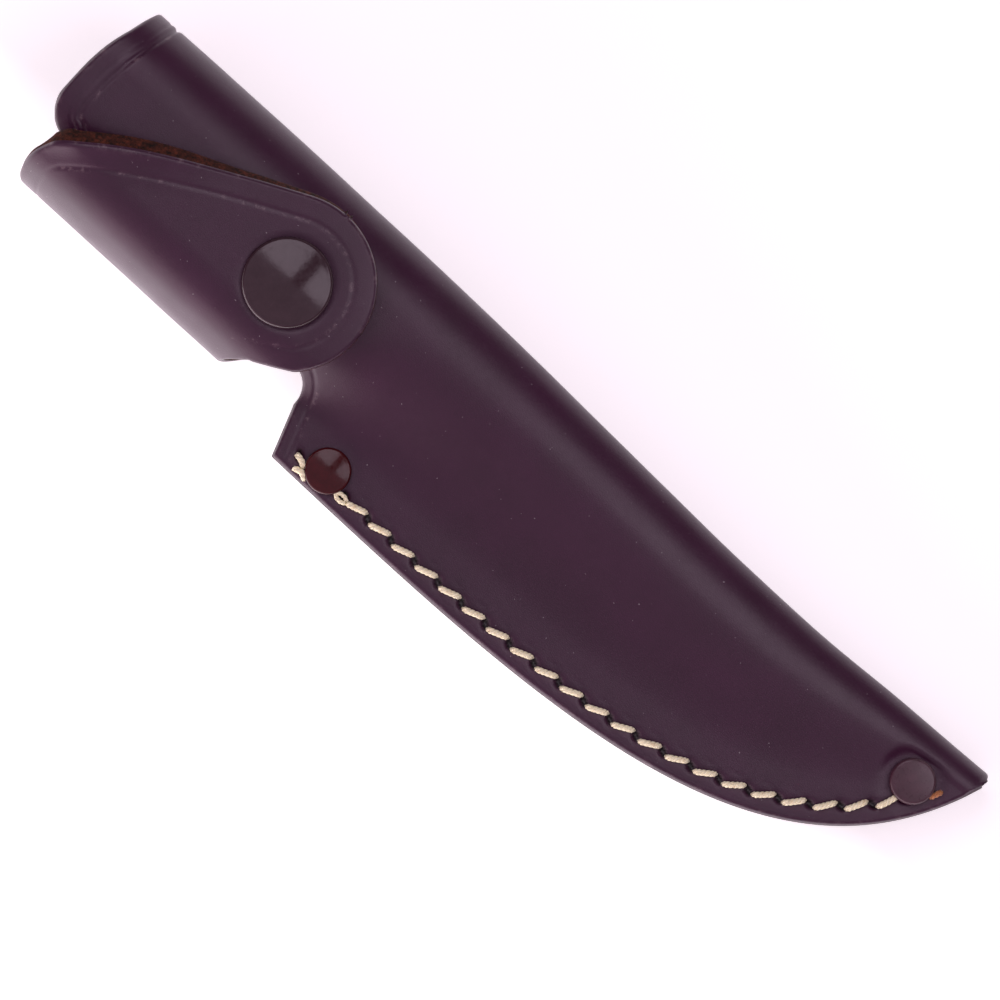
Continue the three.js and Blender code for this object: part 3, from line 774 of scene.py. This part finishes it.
def feed(tree, socket, value):
    """Links a socket to another node's output, or sets it to a fixed value."""
    if isinstance(value, bpy.types.NodeSocket):
        tree.links.new(value, socket)
    else:
        socket.default_value = value


def place_of(tree):
    """The point's place on the leather at rest, in millimetres."""
    node = tree.nodes.new("ShaderNodeAttribute")
    node.attribute_name = "grain_place"
    return node.outputs["Vector"]


def noise_at(tree, place, scale, detail=3.0, roughness=0.5):
    node = tree.nodes.new("ShaderNodeTexNoise")
    for socket, value in (("Scale", scale), ("Detail", detail), ("Roughness", roughness)):
        node.inputs[socket].default_value = value
    tree.links.new(place, node.inputs["Vector"])
    return node.outputs["Fac"]


def ramp(tree, value, low, high, from_value=0.0, to_value=1.0):
    """from_value where value is low, to_value where it is high, and even steps between."""
    node = tree.nodes.new("ShaderNodeMapRange")
    ends = (("From Min", low), ("From Max", high), ("To Min", from_value), ("To Max", to_value))
    for socket, end in ends:
        node.inputs[socket].default_value = end
    tree.links.new(value, node.inputs["Value"])
    return node.outputs["Result"]


def mix(tree, share, a, b):
    node = tree.nodes.new("ShaderNodeMix")
    node.data_type = "RGBA"
    for socket, value in (("Factor", share), ("A", a), ("B", b)):
        feed(tree, node.inputs[socket], value)
    return node.outputs["Result"]


def times(tree, a, b):
    node = tree.nodes.new("ShaderNodeMath")
    node.operation = "MULTIPLY"
    feed(tree, node.inputs[0], a)
    feed(tree, node.inputs[1], b)
    return node.outputs["Value"]


def bumps(tree, shader, heights):
    """Stacks bump maps, given as (height, distance in metres, strength), and drives the shader's normal."""
    normal = None
    for height, distance, strength in heights:
        node = tree.nodes.new("ShaderNodeBump")
        node.inputs["Distance"].default_value = distance
        node.inputs["Strength"].default_value = strength
        tree.links.new(height, node.inputs["Height"])
        if normal is not None:
            tree.links.new(normal, node.inputs["Normal"])
        normal = node.outputs["Normal"]
    tree.links.new(normal, shader.inputs["Normal"])


AUBERGINE, PALE_AUBERGINE = (0.034, 0.0044, 0.0225, 1), (0.043, 0.0062, 0.0295, 1)
RUBBED = (0.2, 0.13, 0.15, 1)
# Painted shade: a near-black colour standing in for the shadow inside each stitch slit.
SLIT_SHADE = (0.004, 0.001, 0.001, 1)
DUST = (0.35, 0.3, 0.32, 1)


def grain_leather():
    """Smooth aubergine grain leather: fine pores, slow mottling, a waxed gloss, rubbed patches, dust, and
    painted shade in the stitch slits.
    """
    material, tree, shader = new_material("grain_leather")
    place = place_of(tree)
    pores = tree.nodes.new("ShaderNodeTexVoronoi")
    pores.feature = "DISTANCE_TO_EDGE"
    pores.inputs["Scale"].default_value = 2.4
    tree.links.new(place, pores.inputs["Vector"])
    fine = noise_at(tree, place, 5.0, 3.0, 0.6)
    mottling = noise_at(tree, place, 0.09, 4.0, 0.6)
    dye = mix(tree, ramp(tree, mottling, 0.3, 0.7), AUBERGINE, PALE_AUBERGINE)
    wear_and_slit_shade = tree.nodes.new("ShaderNodeAttribute")
    wear_and_slit_shade.attribute_name = "wear_and_slit_shade"
    patches = ramp(tree, noise_at(tree, place, 0.45, 5.0, 0.7), 0.52, 0.68)
    rubbed = times(tree, ramp(tree, wear_and_slit_shade.outputs["Fac"], 0.0, 1.0), patches)
    colour = mix(tree, times(tree, rubbed, 0.75), dye, RUBBED)
    # Painted shade: below zero the channel marks the stitch slits, and their colour darkens towards
    # SLIT_SHADE.
    painted_slit_shade = ramp(tree, wear_and_slit_shade.outputs["Fac"], -0.3, -1.0)
    colour = mix(tree, painted_slit_shade, colour, SLIT_SHADE)
    specks = noise_at(tree, place, 1.9, 1.0, 0.4)
    dust = times(tree, ramp(tree, specks, 0.79, 0.82), 0.5)
    colour = mix(tree, dust, colour, DUST)
    tree.links.new(colour, shader.inputs["Base Color"])
    smear = noise_at(tree, place, 0.16, 4.0, 0.6)
    tree.links.new(ramp(tree, smear, 0.25, 0.75, 0.33, 0.45), shader.inputs["Roughness"])
    shader.inputs["Specular IOR Level"].default_value = 0.36
    shader.inputs["Coat Weight"].default_value = 0.22
    shader.inputs["Coat Roughness"].default_value = 0.3
    edges = ramp(tree, pores.outputs["Distance"], 0.0, 0.12)
    bumps(tree, shader, [(edges, 0.00003, 0.35), (fine, 0.00005, 0.3)])
    return material


def suede(name, dark, light, roughness=0.9, sheen=0.25, grain=2.6):
    """The fibrous flesh side or a cut edge: short fibres, uneven dye."""
    material, tree, shader = new_material(name)
    place = place_of(tree)
    fibres = noise_at(tree, place, grain, 6.0, 0.75)
    patches = noise_at(tree, place, 0.5, 4.0, 0.6)
    dyed = mix(tree, ramp(tree, fibres, 0.38, 0.66), dark, light)
    colour = mix(tree, ramp(tree, patches, 0.4, 0.75, 0, 0.6), dyed, dark)
    tree.links.new(colour, shader.inputs["Base Color"])
    shader.inputs["Roughness"].default_value = roughness
    shader.inputs["Specular IOR Level"].default_value = 0.25
    shader.inputs["Sheen Weight"].default_value = sheen
    bumps(tree, shader, [(fibres, 0.0003, 0.6)])
    return material


def waxed_thread(name, dark, light, grimy):
    """Waxed sewing thread: fine fibres, with some grime rubbed in."""
    material, tree, shader = new_material(name)
    place = place_of(tree)
    fibres = noise_at(tree, place, 6.0, 4.0, 0.7)
    grime = noise_at(tree, place, 0.7, 3.0, 0.6)
    dyed = mix(tree, ramp(tree, fibres, 0.3, 0.7), dark, light)
    colour = mix(tree, ramp(tree, grime, 0.56, 0.8, 0, 0.5), dyed, grimy)
    tree.links.new(colour, shader.inputs["Base Color"])
    shader.inputs["Roughness"].default_value = 0.5
    shader.inputs["Sheen Weight"].default_value = 0.2
    bumps(tree, shader, [(fibres, 0.00008, 0.5)])
    return material


def enamel(name, deep, shallow, roughness, gloss=0.5):
    """Glossy lacquer on a pressed metal cap, with fine handling marks."""
    material, tree, shader = new_material(name)
    place = place_of(tree)
    cloud = noise_at(tree, place, 0.5, 3.0, 0.6)
    colour = mix(tree, ramp(tree, cloud, 0.3, 0.7), deep, shallow)
    tree.links.new(colour, shader.inputs["Base Color"])
    shader.inputs["Specular IOR Level"].default_value = gloss
    smears = noise_at(tree, place, 1.3, 5.0, 0.7)
    dulled = ramp(tree, smears, 0.3, 0.75, roughness, roughness + 0.14)
    tree.links.new(dulled, shader.inputs["Roughness"])
    bumps(tree, shader, [(noise_at(tree, place, 1.2, 2.0), 0.00004, 0.25)])
    return material


BRIGHT_PLATE, TARNISHED_PLATE = (0.42, 0.41, 0.4, 1), (0.28, 0.25, 0.23, 1)


def plated_steel():
    """Nickel plate, tarnished in patches."""
    material, tree, shader = new_material("plated_steel")
    place = place_of(tree)
    tarnish = noise_at(tree, place, 0.8, 5.0, 0.7)
    colour = mix(tree, ramp(tree, tarnish, 0.35, 0.7), BRIGHT_PLATE, TARNISHED_PLATE)
    tree.links.new(colour, shader.inputs["Base Color"])
    shader.inputs["Metallic"].default_value = 1.0
    tree.links.new(ramp(tree, tarnish, 0.3, 0.75, 0.22, 0.42), shader.inputs["Roughness"])
    bumps(tree, shader, [(noise_at(tree, place, 3.0, 3.0), 0.00004, 0.3)])
    return material


leather = grain_leather()
flesh = suede("flesh_side", (0.05, 0.017, 0.012, 1), (0.13, 0.055, 0.038, 1))
cut_edge = suede("cut_edge", (0.018, 0.006, 0.008, 1), (0.04, 0.014, 0.016, 1), 0.6)
raw_edge = suede("raw_edge", (0.008, 0.002, 0.001, 1), (0.115, 0.025, 0.012, 1), 0.85, 0.0, 1.3)
welt_leather = suede("welt_leather", (0.022, 0.008, 0.009, 1), (0.06, 0.022, 0.02, 1), 0.65)
cream_thread = waxed_thread(
    "waxed_thread", (1.0, 0.86, 0.5, 1), (1.0, 0.98, 0.76, 1), (0.6, 0.34, 0.12, 1)
)
scorched_thread = waxed_thread(
    "scorched_thread", (0.3, 0.09, 0.03, 1), (0.62, 0.25, 0.08, 1), (0.2, 0.06, 0.03, 1)
)
cap_enamel = enamel("cap_enamel", (0.036, 0.015, 0.022, 1), (0.044, 0.02, 0.028, 1), 0.1, 0.42)
rivet_enamel = enamel("rivet_enamel", (0.05, 0.016, 0.027, 1), (0.075, 0.026, 0.042, 1), 0.24)
# A darker, redder copy of the rivet enamel, painted to stand in for the dark reflection on the throat rivet's
# cap.
painted_dark_reflection_enamel = enamel("painted_dark_reflection_enamel", (0.04, 0.0015, 0.003, 1), (0.062, 0.003, 0.006, 1), 0.12, 0.34)
steel = plated_steel()
LEATHER_SLOTS = [leather, flesh, cut_edge]


# ---- Hardware
def pressed_cap(radius, height, crown_height, low, rim, roll):
    """A pressed cap's profile: a shallow crown, a rolled shoulder, and a turned-under rim."""
    flat = radius - roll
    shoulder = height - crown_height
    profile = [(flat * k / 10, low + height - crown_height * (k / 10) ** 2) for k in range(11)]
    for k in range(1, 8):
        a = math.radians(90 * k / 7)
        profile.append((flat + roll * math.sin(a), low + rim + (shoulder - rim) * math.cos(a)))
    for k in range(1, 5):
        a = math.radians(45 * k)
        profile.append((radius - rim / 4 * (1 - math.cos(a)), low + rim / 2 * (1 + math.cos(a))))
    return profile


def rivet(name, place, crown_height, material):
    """Both halves of a double-cap rivet: the front cap with its stem, and the back cap with its post."""
    base = back_z(place[0])
    head = pressed_cap(3.9, 1.4, crown_height, FIT, 0.4, 0.55)
    cap = head + [(1.7, FIT), (1.7, -STACK / 2), (1.35, -STACK / 2), (1.35, -0.3), (0, -0.3)]
    front = turned(f"{name}_rivet_front", cap, place, base + STACK, material)
    back = [(r, -h) for r, h in head] + [(1.05, -FIT), (1.05, STACK - 1), (0, STACK - 0.7)]
    post = turned(f"{name}_rivet_back", back, place, base, steel)
    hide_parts(f"{name}_rivet_cap")
    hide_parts(f"{name}_rivet_post")
    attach(front, "sheath")
    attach(post, "sheath")


def snap_piece(name, node, profile, w, material, body):
    """One turned piece of the press stud, on its axis."""
    piece = turned(name, profile, (SNAP_U, SNAP_V), w, material)
    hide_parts(node)
    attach(piece, body)


def press_stud():
    """The press stud's four turned pieces. Returns where the socket starts."""
    cap_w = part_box("snap_cap")[1].z / MM - 2.5
    socket_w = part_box("snap_socket")[0].z / MM
    stud_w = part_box("snap_stud")[0].z / MM - FIT
    eyelet_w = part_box("snap_eyelet")[0].z / MM + FIT + 0.8
    cap = pressed_cap(7.5, 2.5, 1.15, 0.0, 0.6, 0.7)
    cap += [(6.9, FIT), (2.2, FIT), (2.2, -2.9), (1.5, -2.9), (1.5, 0.5), (0, 0.5)]
    snap_piece("stud_cap", "snap_cap", cap, cap_w, cap_enamel, "flap")
    socket = [
        (2.5, 2.45), (5.6, 2.45), (5.9, 2.3), (6.0, 2.0), (6.0, 0.5), (5.85, 0.15), (5.5, 0), (3.9, 0),
        (3.65, 0.15), (3.65, 0.5), (4.5, 0.5), (4.5, 1.4), (3.65, 1.4), (3.65, 1.9), (2.5, 1.9),
    ]
    snap_piece("stud_socket", "snap_socket", socket, socket_w, steel, "flap")
    stud = [
        (2.1, FIT), (4.7, FIT), (4.9, 0.3), (4.9, 0.65), (4.6, 0.82), (3.3, 0.92), (2.95, 1.1), (2.9, 1.5),
        (3.15, 1.75), (3.25, 2.05), (3.15, 2.4), (2.8, 2.65), (2.4, 2.75), (2.1, 2.75),
    ]
    snap_piece("stud_post", "snap_stud", stud, stud_w, steel, "sheath")
    eyelet = [
        (1.2, -0.95), (4.5, -0.95), (4.9, -0.7), (4.9, -0.4),
        (4.6, -FIT), (1.85, -FIT), (1.85, 4.8), (1.2, 4.8),
    ]
    snap_piece("stud_eyelet", "snap_eyelet", eyelet, eyelet_w, steel, "sheath")
    return socket_w


RING_RADIUS, RING_WIRE = 4.0, 0.24  # radii of the ring spring and of its wire
RING_GAP = 12  # degrees from the middle of the gap to the wire's end


def ring_spring(socket_w):
    """The split ring of round wire in the socket."""
    angle = np.radians(np.linspace(RING_GAP, 360 - RING_GAP, 90))
    u, v = SNAP_U + RING_RADIUS * np.cos(angle), SNAP_V + RING_RADIUS * np.sin(angle)
    path = np.column_stack([u, v, np.full(len(angle), socket_w + 0.95)])
    points, faces = tube(path, RING_WIRE, 10)
    ring = mesh_object("stud_ring_spring", points, faces, [steel])
    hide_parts("snap_ring_spring")
    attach(ring, "flap")


# ---- Making the pieces
hide_body = body_sheet()
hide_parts("leather_body")
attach(hide_body, "sheath")

hide_flap = flap_sheet()
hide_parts("retaining_flap")
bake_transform(hide_flap)

welt = welt_strip()
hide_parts("welt")
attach(welt, "sheath")

strap = belt_strap()
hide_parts("belt_loop")
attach(strap, "sheath")


def sew(name, paths, *nodes, radius=THREAD_RADIUS):
    """Makes the thread that replaces these nodes."""
    thread = thread_object(name, paths, cream_thread, radius)
    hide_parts(*nodes)
    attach(thread, "sheath")


def seam_face(u):
    """Height of the front panel's face at the seam."""
    return back_z(u) + STACK


def lying(points):
    """A thread lying on the front of the seam, its two ends tucked in."""
    u, v = catmull_rom(points, per_span=8).T
    t = np.linspace(0, 1, len(u))
    tuck = 0.9 * np.clip(1 - np.minimum(t, 1 - t) / 0.2, 0, 1)
    return np.column_stack([u, v, seam_face(u) + 0.4 - tuck])


def start_loop():
    """The small loop that the thread makes where it leaves the throat rivet."""
    angle = np.radians(np.linspace(20, 345, 30))
    u = 79.2 + 1.05 * np.cos(angle)
    v = -38.35 + 0.55 * np.sin(angle)
    return np.column_stack([u, v, seam_face(u) + 0.35])


UNDER_RIVET = (0, 1)  # stitches that the throat rivet hides
BACK_TACK = [
    [(69.1, -38.0), (70.2, -38.2), (71.2, -38.8)],
    [(70.2, -40.0), (71.4, -39.6), (72.6, -40.1)],
]
END_KNOT = [(184.4, -9.0), (184.7, -8.2), (185.1, -7.3)]

front_paths = SEAM_STITCHES.stitches(lambda u, v: seam_face(u), skip=UNDER_RIVET)
front_paths += [lying(points) for points in BACK_TACK]
sew("seam_stitches_front", front_paths, "seam_needle_thread")
loop_thread = thread_object("seam_start_loop", [start_loop()], cream_thread, 0.38)
end_thread = thread_object("seam_end_knot", [lying(END_KNOT)], scorched_thread, 0.5)
for thread in (loop_thread, end_thread):
    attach(thread, "sheath")
back_paths = SEAM_STITCHES.stitches(lambda u, v: back_z(u), up=-1, mirrored=True)
sew("seam_stitches_back", back_paths, "seam_bobbin_thread")

strap_face = BACK_Z - FIT - STRAP_HIDE
tab_paths = []
inside_paths = []
for line in TAB_STITCHES:
    tab_paths += line.stitches(lambda u, v: strap_face, up=-1, mirrored=True)
    inside_paths += line.stitches(lambda u, v: BACK_Z + HIDE)
inside_nodes = ["belt_loop_upper_bobbin_thread", "belt_loop_lower_bobbin_thread"]
sew("strap_stitches_outside", tab_paths, *TAB_NODES, radius=STRAP_THREAD_RADIUS)
sew("strap_stitches_inside", inside_paths, *inside_nodes, radius=STRAP_THREAD_RADIUS)

# The throat rivet's cap takes the enamel copy with the painted dark reflection.
rivet("throat", THROAT_RIVET, 0.5, painted_dark_reflection_enamel)
rivet("tip", TIP_RIVET, 0.14, rivet_enamel)
ring_spring(press_stud())


# ---- Floor, light and camera
def area_light(name, place, aim, size, power, colour):
    light = bpy.data.lights.new(name, "AREA")
    light.shape = "RECTANGLE"
    light.size, light.size_y = size
    light.energy = power
    light.color = colour
    obj = link(bpy.data.objects.new(name, light))
    obj.location = place
    obj.rotation_euler = (Vector(aim) - Vector(place)).to_track_quat("-Z", "Y").to_euler()


FLOOR_Z = -0.0002
FLOOR_HALF = 4.0
BRIGHT_Y, DIM_Y = -0.1, 0.0  # between these the floor's own light fades
BRIGHT_GLOW, DIM_GLOW = 3.5, 0.5


def pale_floor():
    """A white table, glowing more on the flap's side for the glare on the left bend."""
    signs = [(-1, -1), (1, -1), (1, 1), (-1, 1)]
    corners = [(x * FLOOR_HALF, y * FLOOR_HALF, FLOOR_Z) for x, y in signs]
    mesh = bpy.data.meshes.new("floor")
    mesh.from_pydata(corners, [], [(0, 1, 2, 3)])
    floor = link(bpy.data.objects.new("floor", mesh))
    material, tree, shader = new_material("pale_floor")
    shader.inputs["Base Color"].default_value = (0.93, 0.93, 0.94, 1)
    shader.inputs["Roughness"].default_value = 0.9
    shader.inputs["Specular IOR Level"].default_value = 0.0
    shader.inputs["Emission Color"].default_value = (1.0, 0.93, 0.96, 1)
    place = tree.nodes.new("ShaderNodeTexCoord")
    split = tree.nodes.new("ShaderNodeSeparateXYZ")
    tree.links.new(place.outputs["Object"], split.inputs[0])
    glow = ramp(tree, split.outputs["Y"], BRIGHT_Y, DIM_Y, BRIGHT_GLOW, DIM_GLOW)
    tree.links.new(glow, shader.inputs["Emission Strength"])
    mesh.materials.append(material)


pale_floor()
# The gap between the two top panels is the dark patch in the press stud's cap.
for side_name, panel_x in (("left", -0.28), ("right", 0.29)):
    above, below = (panel_x, 0.235, 0.6), (panel_x, 0.235, 0.0)
    area_light(f"top_panel_{side_name}", above, below, (0.43, 0.37), 1.25, (1.0, 0.84, 0.98))
area_light("side_panel", (-0.1, -0.8, 0.22), (0.0, 0.0, 0.02), (1.2, 0.4), 3.6, (1.0, 0.76, 0.86))
area_light("fill_panel", (0.0, -0.9, 1.5), (0.0, -0.9, 0.0), (3.0, 2.0), 8.5, (0.98, 0.84, 1.0))

world = bpy.data.worlds.new("studio")
bpy.context.scene.world = world
world.use_nodes = True
background = world.node_tree.nodes["Background"]
background.inputs["Color"].default_value = (1, 1, 1, 1)
background.inputs["Strength"].default_value = 0.1
bpy.context.scene.view_settings.view_transform = "Standard"

VIEW_U, VIEW_V = 98.7, -20.9  # what the camera looks straight down on
VIEW_WIDTH = 0.1643  # metres across the picture at that place
VIEW_TURN = math.radians(42.5)
CAMERA_HEIGHT = 1.3
SUBJECT_HEIGHT = 0.018
SENSOR_WIDTH = 36
camera_data = bpy.data.cameras.new("camera")
camera_data.sensor_width = SENSOR_WIDTH
camera_data.lens = SENSOR_WIDTH * (CAMERA_HEIGHT - SUBJECT_HEIGHT) / VIEW_WIDTH
camera_data.clip_start = 0.05
camera = link(bpy.data.objects.new("camera", camera_data))
look_at = to_frame([[VIEW_U, VIEW_V, 0]])[0]
camera.location = (look_at[0], look_at[1], CAMERA_HEIGHT)
camera.rotation_euler = (0, 0, VIEW_TURN)
bpy.context.scene.camera = camera
